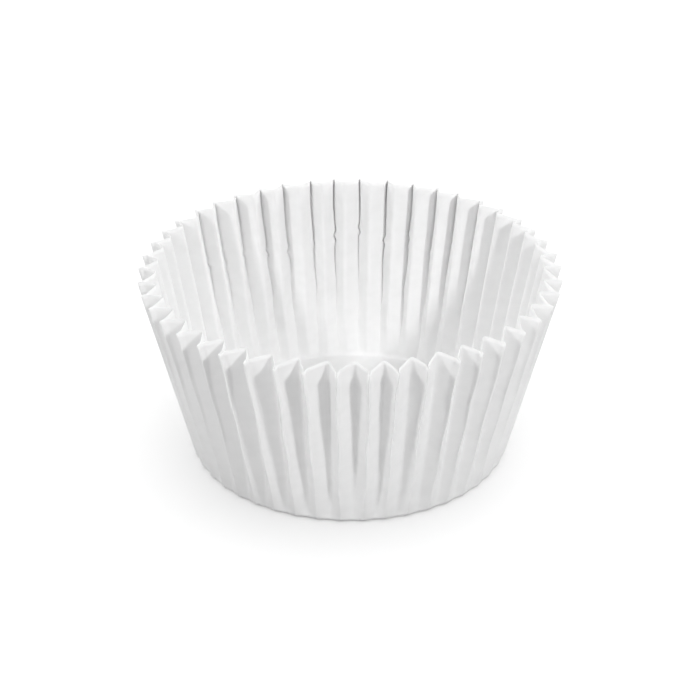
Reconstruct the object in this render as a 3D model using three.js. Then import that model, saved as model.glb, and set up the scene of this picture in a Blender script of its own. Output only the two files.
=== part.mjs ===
// Pleated paper baking cup: one round sheet, flat in the middle and folded up into a pleated wall.
// Units are millimetres, +Z is up, the cup rests on Z = 0 and stands centred on the Z axis.

import * as THREE from 'three';

// Driving sizes
const BASE_DIAMETER = 50;        // across the corner where the flat base turns up
const SHEET_DIAMETER = 110;      // the round sheet before folding
const SHEET_THICKNESS = 0.06;    // greaseproof paper
const BEND_RADIUS = 0.9;         // rounding between the base and the outer folds
const FOLD_LEAN = 14;            // degrees that the outer folds lean out from upright
const PLEAT_COUNT = 46;          // outer folds round the wall
const FIRST_FOLD = 0.6;          // degrees from the X axis to the first outer fold
const OUTER_PINCH = 0.3;         // 0 is a plain V, towards 1 the outer folds are pinched together
const INNER_ROUNDING = 0.4;      // 0 is a sharp inner fold, towards 1 it is rounded

// How finely the sheet is divided
const POINTS_PER_PLEAT = 6;
const WALL_ROWS = 9;
const ROW_SPREAD = 1.6;          // above 1 gathers the rows near the base, where the pleats open
const DEPTH_STEPS = 40;          // halvings in the search for a pleat depth

// Look
const PAPER_COLOUR = '#f4f3ef';
const PAPER_ROUGHNESS = 0.85;
const PAPER_METALNESS = 0;

// Sizes that follow from the ones above
const FLAT_RADIUS = BASE_DIAMETER / 2 - BEND_RADIUS;
const WALL_PAPER = SHEET_DIAMETER / 2 - FLAT_RADIUS;
const WALL_SLOPE = THREE.MathUtils.degToRad(90 - FOLD_LEAN);
const BEND_LENGTH = BEND_RADIUS * WALL_SLOPE;
const COLUMNS = PLEAT_COUNT * POINTS_PER_PLEAT;
const PLEAT_ANGLE = (2 * Math.PI) / PLEAT_COUNT;
const FIRST_ANGLE = THREE.MathUtils.degToRad(FIRST_FOLD);
const INNER_ANGLE = PLEAT_ANGLE / 2;

// The line of an outer fold, seen from the side, at a paper distance s from the flat base.
function outerFold(s) {
  const slope = Math.min(s / BEND_RADIUS, WALL_SLOPE);
  const straight = Math.max(s - BEND_LENGTH, 0);
  return {
    slope,
    radius: FLAT_RADIUS + BEND_RADIUS * Math.sin(slope) + straight * Math.cos(slope),
    height: BEND_RADIUS * (1 - Math.cos(slope)) + straight * Math.sin(slope),
  };
}

// One point of the sheet's middle surface. Column 0 of each pleat lies on its outer fold, and t runs
// from 0 at an outer fold to 1 at the inner fold, on either side of the pleat.
function sheetPoint(fold, depth, column) {
  const pleat = Math.floor(column / POINTS_PER_PLEAT);
  const turn = (2 * (column % POINTS_PER_PLEAT)) / POINTS_PER_PLEAT;
  const t = Math.min(turn, 2 - turn);
  const outerAngle = turn > 1 ? PLEAT_ANGLE : 0;
  const along = (1 - OUTER_PINCH) * t + OUTER_PINCH * t * t;
  const share = (1 - INNER_ROUNDING) * t + INNER_ROUNDING * Math.sin((Math.PI * t) / 2);
  const angle = FIRST_ANGLE + pleat * PLEAT_ANGLE + outerAngle + (INNER_ANGLE - outerAngle) * along;
  const inward = depth * share;
  const radius = fold.radius - inward * Math.sin(fold.slope);
  const height = fold.height + inward * Math.cos(fold.slope) + SHEET_THICKNESS / 2;
  return new THREE.Vector3(radius * Math.cos(angle), radius * Math.sin(angle), height);
}

// Length of one pleat measured round the cup, from one outer fold to the next.
function pleatLength(fold, depth) {
  let length = 0;
  for (let column = 0; column < POINTS_PER_PLEAT; column += 1) {
    length += sheetPoint(fold, depth, column).distanceTo(sheetPoint(fold, depth, column + 1));
  }
  return length;
}

// Pleat depth at which the folded ring holds as much paper as the same ring of the flat sheet.
function pleatDepth(fold, s) {
  const paper = (2 * Math.PI * (FLAT_RADIUS + s)) / PLEAT_COUNT;
  let shallow = 0;
  let deep = paper;
  for (let step = 0; step < DEPTH_STEPS; step += 1) {
    const middle = (shallow + deep) / 2;
    if (pleatLength(fold, middle) < paper) shallow = middle;
    else deep = middle;
  }
  return shallow;
}

// Rings of middle points from the edge of the flat base (row 0) to the rim (last row).
function sheetRings() {
  const rings = [];
  for (let row = 0; row <= WALL_ROWS; row += 1) {
    const s = WALL_PAPER * (row / WALL_ROWS) ** ROW_SPREAD;
    const fold = outerFold(s);
    const depth = row === 0 ? 0 : pleatDepth(fold, s);
    const ring = [];
    for (let column = 0; column < COLUMNS; column += 1) {
      ring.push(sheetPoint(fold, depth, column));
    }
    rings.push(ring);
  }
  return rings;
}

// Direction out of the cup at one point of the rings; the base looks straight down.
function outwardNormal(rings, row, column) {
  if (row === 0) return new THREE.Vector3(0, 0, -1);
  const ring = rings[row];
  const next = ring[(column + 1) % COLUMNS];
  const previous = ring[(column + COLUMNS - 1) % COLUMNS];
  const above = rings[Math.min(row + 1, WALL_ROWS)][column];
  const below = rings[row - 1][column];
  const around = new THREE.Vector3().subVectors(next, previous);
  const upward = new THREE.Vector3().subVectors(above, below);
  return around.cross(upward).normalize();
}

// Closed skin of the sheet: the outside half first, the inside half after it.
function sheetGeometry() {
  const rings = sheetRings();
  const positions = [];
  const addPoint = (point, normal, offset) => {
    positions.push(point.x + normal.x * offset, point.y + normal.y * offset, point.z + normal.z * offset);
  };
  for (const side of [1, -1]) {
    const offset = (side * SHEET_THICKNESS) / 2;
    addPoint(new THREE.Vector3(0, 0, SHEET_THICKNESS / 2), new THREE.Vector3(0, 0, -1), offset);
    for (let row = 0; row <= WALL_ROWS; row += 1) {
      for (let column = 0; column < COLUMNS; column += 1) {
        addPoint(rings[row][column], outwardNormal(rings, row, column), offset);
      }
    }
  }

  const pointsPerSide = 1 + (WALL_ROWS + 1) * COLUMNS;
  const outside = (row, column) => 1 + row * COLUMNS + (column % COLUMNS);
  const inside = (row, column) => pointsPerSide + outside(row, column);
  const faces = [];
  for (let column = 0; column < COLUMNS; column += 1) {
    const next = column + 1;
    faces.push(0, outside(0, next), outside(0, column));
    faces.push(pointsPerSide, inside(0, column), inside(0, next));
    for (let row = 0; row < WALL_ROWS; row += 1) {
      const up = row + 1;
      faces.push(outside(row, column), outside(row, next), outside(up, next));
      faces.push(outside(row, column), outside(up, next), outside(up, column));
      faces.push(inside(row, column), inside(up, next), inside(row, next));
      faces.push(inside(row, column), inside(up, column), inside(up, next));
    }
    faces.push(outside(WALL_ROWS, column), outside(WALL_ROWS, next), inside(WALL_ROWS, next));
    faces.push(outside(WALL_ROWS, column), inside(WALL_ROWS, next), inside(WALL_ROWS, column));
  }

  const geometry = new THREE.BufferGeometry();
  geometry.setAttribute('position', new THREE.Float32BufferAttribute(positions, 3));
  geometry.setIndex(faces);
  geometry.computeVertexNormals();
  return geometry;
}

const paper = new THREE.MeshStandardMaterial({
  name: 'greaseproof_paper',
  color: PAPER_COLOUR,
  roughness: PAPER_ROUGHNESS,
  metalness: PAPER_METALNESS,
});

const cup = new THREE.Mesh(sheetGeometry(), paper);
cup.name = 'pleated_paper_cup';

const model = new THREE.Group();
model.name = 'paper_baking_cup';
model.add(cup);

export default model;
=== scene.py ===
# %% [markdown]
# # A pleated paper baking cup
# The real cup is one round sheet of thin white greaseproof paper. A press pushes it into a fluted
# mould, so the middle stays flat and the outside is gathered into pleats that stand up as a wall.
# This lesson does the same: it cuts a flat sheet, folds it by a rule that keeps the paper's length,
# gives it its thickness, and then looks after the paper, the light and the camera.

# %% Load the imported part
import math
import random

import bmesh
import bpy
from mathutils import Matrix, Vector


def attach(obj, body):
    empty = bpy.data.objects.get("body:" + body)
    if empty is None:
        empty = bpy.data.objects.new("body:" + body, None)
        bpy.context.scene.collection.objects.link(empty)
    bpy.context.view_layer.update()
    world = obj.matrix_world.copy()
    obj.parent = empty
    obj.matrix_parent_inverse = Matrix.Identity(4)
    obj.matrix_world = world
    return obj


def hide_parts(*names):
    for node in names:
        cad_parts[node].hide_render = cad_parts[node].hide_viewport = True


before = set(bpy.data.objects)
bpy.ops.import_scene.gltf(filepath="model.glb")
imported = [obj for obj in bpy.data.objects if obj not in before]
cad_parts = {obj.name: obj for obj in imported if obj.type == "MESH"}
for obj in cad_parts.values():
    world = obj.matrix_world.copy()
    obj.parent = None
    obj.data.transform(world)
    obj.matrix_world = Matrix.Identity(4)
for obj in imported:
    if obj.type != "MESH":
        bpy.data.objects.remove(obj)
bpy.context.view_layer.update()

# %% [markdown]
# ## Sizes
# The sizes are those of the solid part, in metres. Half of the base and the sheet's own radius give
# how much paper goes into the wall. A small round joins base and wall.

# %% Named sizes
MM = 0.001
BASE_RADIUS = 25 * MM
SHEET_RADIUS = 55 * MM
PAPER_THICKNESS = 0.06 * MM
BEND_RADIUS = 0.9 * MM
FOLD_SLOPE = math.radians(90 - 14)
PLEATS = 46
FLAT_RADIUS = BASE_RADIUS - BEND_RADIUS
WALL_PAPER = SHEET_RADIUS - FLAT_RADIUS
BEND_LENGTH = BEND_RADIUS * FOLD_SLOPE
SAME_POINT = 0.001 * MM
print("paper in the wall: %.1f mm" % (WALL_PAPER / MM))

# %% [markdown]
# ## The flat sheet
# A round sheet could start as a grid, but the pleats run along its radii, so its points belong on
# radii too. One line of points from the middle to the edge, spun once round, gives just that. The
# points lie closer together near the base, where the pleats open quickly, and in the band where the
# press leaves small kinks.

# %% Spin a radius into a round sheet
POINTS_PER_PLEAT = 20
COLUMNS = PLEATS * POINTS_PER_PLEAT
BASE_ROWS = 5
FINE_START = 2 * MM
KINKS_BELOW_RIM = (7.5 * MM, 12.5 * MM)
BASE_STEP, KINK_STEP, WALL_STEP = 0.25 * MM, 0.4 * MM, 0.95 * MM


def row_step(s):
    down = WALL_PAPER - s
    if s < FINE_START:
        return BASE_STEP
    return KINK_STEP if KINKS_BELOW_RIM[0] < down < KINKS_BELOW_RIM[1] else WALL_STEP


def radius_stops():
    stops = [FLAT_RADIUS * row / BASE_ROWS for row in range(BASE_ROWS)]
    s = 0.0
    while s < WALL_PAPER - WALL_STEP / 2:
        stops.append(FLAT_RADIUS + s)
        s += row_step(s)
    return stops + [SHEET_RADIUS]


def flat_sheet():
    bm = bmesh.new()
    line = [bm.verts.new((stop, 0, 0)) for stop in radius_stops()]
    edges = [bm.edges.new(pair) for pair in zip(line, line[1:])]
    bmesh.ops.spin(bm, geom=line + edges, cent=(0, 0, 0), axis=(0, 0, 1), dvec=(0, 0, 0),
                   angle=2 * math.pi, steps=COLUMNS, use_merge=True, use_normal_flip=False)
    bmesh.ops.remove_doubles(bm, verts=bm.verts, dist=SAME_POINT)
    bmesh.ops.recalc_face_normals(bm, faces=bm.faces)
    return bm


sheet_bm = flat_sheet()
print("flat sheet: %d points, %d faces" % (len(sheet_bm.verts), len(sheet_bm.faces)))

# %% [markdown]
# ## A map of the flat sheet
# The paper's fibres were laid down while it was flat, so its texture has to follow the folds. A UV
# map written before folding keeps each point's place on the flat sheet.

# %% Write the flat place of every point into a UV map
flat_map = sheet_bm.loops.layers.uv.new("flat_sheet")
for face in sheet_bm.faces:
    for loop in face.loops:
        x, y = loop.vert.co.xy
        loop[flat_map].uv = (0.5 + x / (2 * SHEET_RADIUS), 0.5 + y / (2 * SHEET_RADIUS))
print("mapped corners:", sum(len(face.loops) for face in sheet_bm.faces))

# %% [markdown]
# ## The form of one pleat
# Seen from above, each pleat is a V with flat faces. The press pinches the outer fold into a small
# standing seam, which shows as a thin slit inside, and the inner fold is a little rounder. Paper
# does not stretch: a ring of the sheet keeps its length when it is gathered onto a smaller circle,
# and that alone says how deep the pleats are at each height. Along one face, t runs from 0 at the
# outer fold to 1 at the inner fold.

# %% Side line of the wall and section of a pleat
SEAM_SHARE = 0.30
SEAM_GAP = 0.07
SEAM_ROUND = 0.05
INNER_ROUND = 0.12
FOLD_GATHER = 1.5
DEPTH_STEPS = 30


def outer_fold(s):
    slope = min(s / BEND_RADIUS, FOLD_SLOPE)
    straight = max(s - BEND_LENGTH, 0.0)
    radius = FLAT_RADIUS + BEND_RADIUS * math.sin(slope) + straight * math.cos(slope)
    height = BEND_RADIUS * (1 - math.cos(slope)) + straight * math.sin(slope)
    return radius, height, slope


def seam_share(s):
    return SEAM_SHARE * s / WALL_PAPER


def opened(t, share):
    return (t - share + math.hypot(t - share, SEAM_ROUND)) / 2


def along(t, share):
    seam = SEAM_GAP * t / math.hypot(t, SEAM_ROUND)
    face = (opened(t, share) - opened(0, share)) / (opened(1, share) - opened(0, share))
    return seam + (1 - seam) * face


def rounded(t):
    return math.hypot(t, INNER_ROUND) - INNER_ROUND


def inward(t):
    return 1 - rounded(1 - t) / rounded(1)


def half_pleat_length(s, depth):
    radius, _, slope = outer_fold(s)
    length, last = 0.0, None
    for step in range(POINTS_PER_PLEAT // 2 + 1):
        t = (2 * step / POINTS_PER_PLEAT) ** FOLD_GATHER
        r = radius - depth * inward(t) * math.sin(slope)
        point = Vector((r * math.pi / PLEATS * along(t, seam_share(s)), r,
                        depth * inward(t) * math.cos(slope)))
        if last is not None:
            length += (point - last).length
        last = point
    return length


def pleat_depth(s):
    paper = math.pi * (FLAT_RADIUS + s) / PLEATS
    low, high = 0.0, paper
    for _ in range(DEPTH_STEPS):
        middle = (low + high) / 2
        if half_pleat_length(s, middle) < paper:
            low = middle
        else:
            high = middle
    return low


for s_mm in (1, 5, 15, 31):
    print("pleat depth %4.1f mm of paper up the wall: %.2f mm" % (s_mm, pleat_depth(s_mm * MM) / MM))

# %% [markdown]
# ## Small accidents
# No two pleats of a pressed cup are alike. The pleats all lean a little the same way round, and each
# fold stands a little off its even place and wanders on its way down. At the back the press has
# crushed the seams about a third of the way down, so they have a small sharp kink there. It fades
# quickly away from the seam. All of it comes from one seeded source of chance, so the cup is the
# same every time.

# %% Draw the unevenness of each pleat
chance = random.Random(46)
FIRST_FOLD = math.radians(0.6)
SWIRL = 0.12
OUTER_WANDER = 0.07
INNER_WANDER = 0.06
SHALLOWEST = 0.93
DRIFT = 0.12 * MM
DRIFT_LENGTHS = (9 * MM, 15 * MM)
KINK_SIZE = 0.38 * MM
LEAST_KINK = 0.3 * KINK_SIZE
KINK_LENGTH = 0.75 * MM
KINK_PLACES = (8 * MM, 12 * MM)
BACK_SIDE = 0.2
FULL_WANDER_AT = WALL_PAPER / 4
SEAM_ONLY = 3


def draw(low, high):
    return [chance.uniform(low, high) for _ in range(PLEATS)]


outer_shift = draw(-OUTER_WANDER, OUTER_WANDER)
inner_shift = draw(SWIRL - INNER_WANDER, SWIRL + INNER_WANDER)
depth_share = draw(SHALLOWEST, 1.0)
drift_start = draw(0, 2 * math.pi)
drift_length = draw(*DRIFT_LENGTHS)
kink_place = [WALL_PAPER - down for down in draw(*KINK_PLACES)]
kink_push = [chance.choice((-1, 1)) * size for size in draw(LEAST_KINK, KINK_SIZE)]
fold_angles = [FIRST_FOLD + 2 * math.pi * fold / PLEATS for fold in range(PLEATS)]
kinked = [math.sin(angle) > BACK_SIDE for angle in fold_angles]
print("folds drawn for %d pleats" % PLEATS)

# %% [markdown]
# ## Folding
# Every point of the flat sheet knows its distance from the base and its angle. The rule above then
# says where it ends up. Points on the base do not move at all.


# %% Fold the sheet
def fold_wander(index, s):
    away = (s - kink_place[index]) / KINK_LENGTH
    kink = kinked[index] * kink_push[index] * (1 - 2 * away * away) * math.exp(-away * away)
    drift = DRIFT * math.sin(drift_start[index] + 2 * math.pi * s / drift_length[index])
    return kink + drift


def fold_point(s, angle, depth):
    radius, height, slope = outer_fold(s)
    turn = (angle - FIRST_FOLD) / (2 * math.pi) * PLEATS
    index = math.floor(turn)
    phase = turn - index
    rising = phase > 0.5
    t = (2 * (1 - phase) if rising else 2 * phase) ** FOLD_GATHER
    fold = (index + 1 if rising else index) % PLEATS
    up = min(s / FULL_WANDER_AT, 1.0)
    outer_at = (index + 1 if rising else index) + up * outer_shift[fold]
    inner_at = index + 0.5 + up * inner_shift[index % PLEATS]
    place = outer_at + (inner_at - outer_at) * along(t, seam_share(s))
    wander = up * fold_wander(fold, s) * (1 - t) ** SEAM_ONLY / radius
    theta = FIRST_FOLD + place * 2 * math.pi / PLEATS + wander
    push = depth * depth_share[index % PLEATS] * inward(t)
    r = radius - push * math.sin(slope)
    return Vector((r * math.cos(theta), r * math.sin(theta), height + push * math.cos(slope)))


depth_at = {}
for vert in sheet_bm.verts:
    flat = vert.co.xy.length
    s = flat - FLAT_RADIUS
    if s > SAME_POINT:
        key = round(s / MM, 3)
        if key not in depth_at:
            depth_at[key] = pleat_depth(s)
        vert.co = fold_point(s, math.atan2(vert.co.y, vert.co.x), depth_at[key])
    vert.co.z += PAPER_THICKNESS / 2
print("rim pleats are %.2f mm deep" % (depth_at[max(depth_at)] / MM))

# %% [markdown]
# ## The paper's thickness
# The folded sheet is one surface without thickness. A Solidify modifier gives it two sides and a cut
# edge at the rim, half to each side of the surface, and leaves the folds editable.

# %% Make the cup
def make_cup():
    mesh = bpy.data.meshes.new("pleated_cup")
    for face in sheet_bm.faces:
        face.smooth = True
    sheet_bm.to_mesh(mesh)
    sheet_bm.free()
    piece = bpy.data.objects.new("pleated_cup", mesh)
    bpy.context.scene.collection.objects.link(piece)
    skin = piece.modifiers.new("paper_thickness", "SOLIDIFY")
    skin.thickness = PAPER_THICKNESS
    skin.offset = 0
    piece.modifiers.new("flat_faces_stay_flat", "WEIGHTED_NORMAL")
    return piece


cup = make_cup()
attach(cup, "root")
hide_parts("pleated_paper_cup")
print("cup:", [round(side, 4) for side in cup.dimensions])

# %% [markdown]
# ## Greaseproof paper
# The paper is white, matt and thin enough to let some light through. A Principled shader gives its
# matt face, and a Translucent shader mixed in lets light pass, as real thin paper does. Fine cloudy
# noise on the flat sheet's map stands for the fibres.

# %% Paper material
PAPER_WHITE = (0.91, 0.91, 0.91, 1)
PAPER_CLOUD = (0.89, 0.89, 0.89, 1)
LET_THROUGH = 0.12
PAPER_ROUGHNESS = 0.75
PAPER_SPECULAR = 0.3
CLOUD_SCALE = 60
GRAIN_SCALE = 420
GRAIN_HEIGHT = 0.03 * MM


def paper_material():
    mat = bpy.data.materials.new("greaseproof_paper")
    mat.use_nodes = True
    nodes, links = mat.node_tree.nodes, mat.node_tree.links
    face = nodes["Principled BSDF"]
    face.inputs["Roughness"].default_value = PAPER_ROUGHNESS
    face.inputs["Specular IOR Level"].default_value = PAPER_SPECULAR
    flat = nodes.new("ShaderNodeUVMap")
    flat.uv_map = "flat_sheet"
    cloud = nodes.new("ShaderNodeTexNoise")
    cloud.inputs["Scale"].default_value = CLOUD_SCALE
    cloud.inputs["Detail"].default_value = 4
    ramp = nodes.new("ShaderNodeValToRGB")
    ramp.color_ramp.elements[0].color = PAPER_CLOUD
    ramp.color_ramp.elements[0].position = 0.35
    ramp.color_ramp.elements[1].color = PAPER_WHITE
    ramp.color_ramp.elements[1].position = 0.6
    grain = nodes.new("ShaderNodeTexNoise")
    grain.inputs["Scale"].default_value = GRAIN_SCALE
    grain.inputs["Detail"].default_value = 3
    bump = nodes.new("ShaderNodeBump")
    bump.inputs["Strength"].default_value = 0.15
    bump.inputs["Distance"].default_value = GRAIN_HEIGHT
    through = nodes.new("ShaderNodeBsdfTranslucent")
    mix = nodes.new("ShaderNodeMixShader")
    mix.inputs["Fac"].default_value = LET_THROUGH
    links.new(flat.outputs["UV"], cloud.inputs["Vector"])
    links.new(flat.outputs["UV"], grain.inputs["Vector"])
    links.new(cloud.outputs["Fac"], ramp.inputs["Fac"])
    links.new(grain.outputs["Fac"], bump.inputs["Height"])
    links.new(ramp.outputs["Color"], face.inputs["Base Color"])
    links.new(ramp.outputs["Color"], through.inputs["Color"])
    links.new(bump.outputs["Normal"], face.inputs["Normal"])
    links.new(face.outputs["BSDF"], mix.inputs[1])
    links.new(through.outputs["BSDF"], mix.inputs[2])
    links.new(mix.outputs["Shader"], nodes["Material Output"].inputs["Surface"])
    return mat


cup.data.materials.append(paper_material())
print("material:", cup.data.materials[0].name)

# %% [markdown]
# ## Table and background
# The cup stands on a plain white surface that runs off to nothing. The camera sees some light added
# to the surface, so that it reaches white, while the cup's own soft shadow stays on it.

# %% Floor
FLOOR_SIZE = 4.0
FLOOR_LIFT = 0.37
FLOOR_COLOUR = (0.60, 0.60, 0.60, 1)


def floor_material():
    mat = bpy.data.materials.new("white_surface")
    mat.use_nodes = True
    nodes, links = mat.node_tree.nodes, mat.node_tree.links
    nodes.clear()
    out = nodes.new("ShaderNodeOutputMaterial")
    matt = nodes.new("ShaderNodeBsdfDiffuse")
    matt.inputs["Color"].default_value = FLOOR_COLOUR
    glow = nodes.new("ShaderNodeEmission")
    path = nodes.new("ShaderNodeLightPath")
    scale = nodes.new("ShaderNodeMath")
    scale.operation = "MULTIPLY"
    scale.inputs[1].default_value = FLOOR_LIFT
    add = nodes.new("ShaderNodeAddShader")
    links.new(path.outputs["Is Camera Ray"], scale.inputs[0])
    links.new(scale.outputs["Value"], glow.inputs["Strength"])
    links.new(matt.outputs["BSDF"], add.inputs[0])
    links.new(glow.outputs["Emission"], add.inputs[1])
    links.new(add.outputs["Shader"], out.inputs["Surface"])
    return mat


def make_floor():
    bm = bmesh.new()
    bmesh.ops.create_grid(bm, x_segments=1, y_segments=1, size=FLOOR_SIZE / 2)
    mesh = bpy.data.meshes.new("surface")
    bm.to_mesh(mesh)
    bm.free()
    floor = bpy.data.objects.new("surface", mesh)
    bpy.context.scene.collection.objects.link(floor)
    floor.data.materials.append(floor_material())
    return floor


floor = make_floor()
print("floor side: %.1f m" % FLOOR_SIZE)

# %% [markdown]
# ## Light
# Product pictures of white paper use several soft lights in a bright room. Two small boxes stand left
# and right of the camera, so that each pleat shades the one beside it. Two larger ones stand behind
# the cup and light its inside over the far rim. They light the cup alone, because their shadows do
# not belong on the table, and a wide box overhead lights the table alone. The world fills the
# shadows.

# %% Lamps and world
WORLD_FILL = 0.42
RIGHT_POWER = 1.85
LEFT_POWER = 1.25
SIDE_SIZE = 0.08
RIGHT_AT = Vector((0.329, -0.392, 0.415))
LEFT_AT = Vector((-0.403, -0.315, 0.415))
BACK_POWER = 1.45
BACK_SIZE = 0.25
BACK_RIGHT_AT = Vector((0.395, 0.277, 0.450))
BACK_LEFT_AT = Vector((-0.395, 0.277, 0.450))
TABLE_POWER = 8.0
TABLE_SIZE = 1.20
TABLE_AT = Vector((0.05, 0.05, 0.70))
AIM = Vector((0, 0, 0.015))


def make_world():
    world = bpy.data.worlds.new("bright_room")
    bpy.context.scene.world = world
    world.use_nodes = True
    nodes, links = world.node_tree.nodes, world.node_tree.links
    back = nodes["Background"]
    back.inputs["Color"].default_value = (1, 1, 1, 1)
    path = nodes.new("ShaderNodeLightPath")
    seen = nodes.new("ShaderNodeMath")
    seen.operation = "MAXIMUM"
    seen_more = nodes.new("ShaderNodeMath")
    seen_more.operation = "MAXIMUM"
    level = nodes.new("ShaderNodeMapRange")
    level.inputs["To Min"].default_value = WORLD_FILL
    level.inputs["To Max"].default_value = 1.0
    links.new(path.outputs["Is Camera Ray"], seen.inputs[0])
    links.new(path.outputs["Is Glossy Ray"], seen.inputs[1])
    links.new(seen.outputs["Value"], seen_more.inputs[0])
    links.new(path.outputs["Is Transmission Ray"], seen_more.inputs[1])
    links.new(seen_more.outputs["Value"], level.inputs["Value"])
    links.new(level.outputs["Result"], back.inputs["Strength"])


def make_lamp(name, place, size, power):
    data = bpy.data.lights.new(name, "AREA")
    data.shape = "DISK"
    data.size = size
    data.energy = power
    lamp = bpy.data.objects.new(name, data)
    lamp.location = place
    lamp.rotation_euler = (AIM - place).to_track_quat("-Z", "Y").to_euler()
    bpy.context.scene.collection.objects.link(lamp)
    return lamp


def light_only(lamps, lit):
    group = bpy.data.collections.new("lit_by_" + lamps[0].name)
    group.objects.link(lit)
    for lamp in lamps:
        lamp.light_linking.receiver_collection = group


make_world()
right_box = make_lamp("right_box", RIGHT_AT, SIDE_SIZE, RIGHT_POWER)
left_box = make_lamp("left_box", LEFT_AT, SIDE_SIZE, LEFT_POWER)
back_right_box = make_lamp("back_right_box", BACK_RIGHT_AT, BACK_SIZE, BACK_POWER)
back_left_box = make_lamp("back_left_box", BACK_LEFT_AT, BACK_SIZE, BACK_POWER)
table_box = make_lamp("table_box", TABLE_AT, TABLE_SIZE, TABLE_POWER)
light_only([right_box, left_box, back_right_box, back_left_box], cup)
light_only([table_box], floor)
print("world fill %.2f, sides %.2f and %.2f W" % (WORLD_FILL, RIGHT_POWER, LEFT_POWER))

# %% [markdown]
# ## Camera
# The rim looks flatter than the base in the photograph, which only happens close up. The distance,
# height angle and lens below make rim, wall and base fall where the photograph shows them.

# %% Camera
CAMERA_DISTANCE = 0.3061
CAMERA_ANGLE = math.radians(32.39)
LENS_MM = 98.8
LOOK_AT = Vector((0, 0, 0.0152))


def make_camera():
    data = bpy.data.cameras.new("camera")
    data.lens = LENS_MM
    data.sensor_width = 36
    data.clip_start = 0.01
    camera = bpy.data.objects.new("camera", data)
    camera.location = (0, -CAMERA_DISTANCE * math.cos(CAMERA_ANGLE),
                       CAMERA_DISTANCE * math.sin(CAMERA_ANGLE))
    camera.rotation_euler = (LOOK_AT - camera.location).to_track_quat("-Z", "Y").to_euler()
    bpy.context.scene.collection.objects.link(camera)
    bpy.context.scene.camera = camera


make_camera()
bpy.context.scene.view_settings.view_transform = "Standard"
print("camera at", [round(value, 3) for value in bpy.context.scene.camera.location])
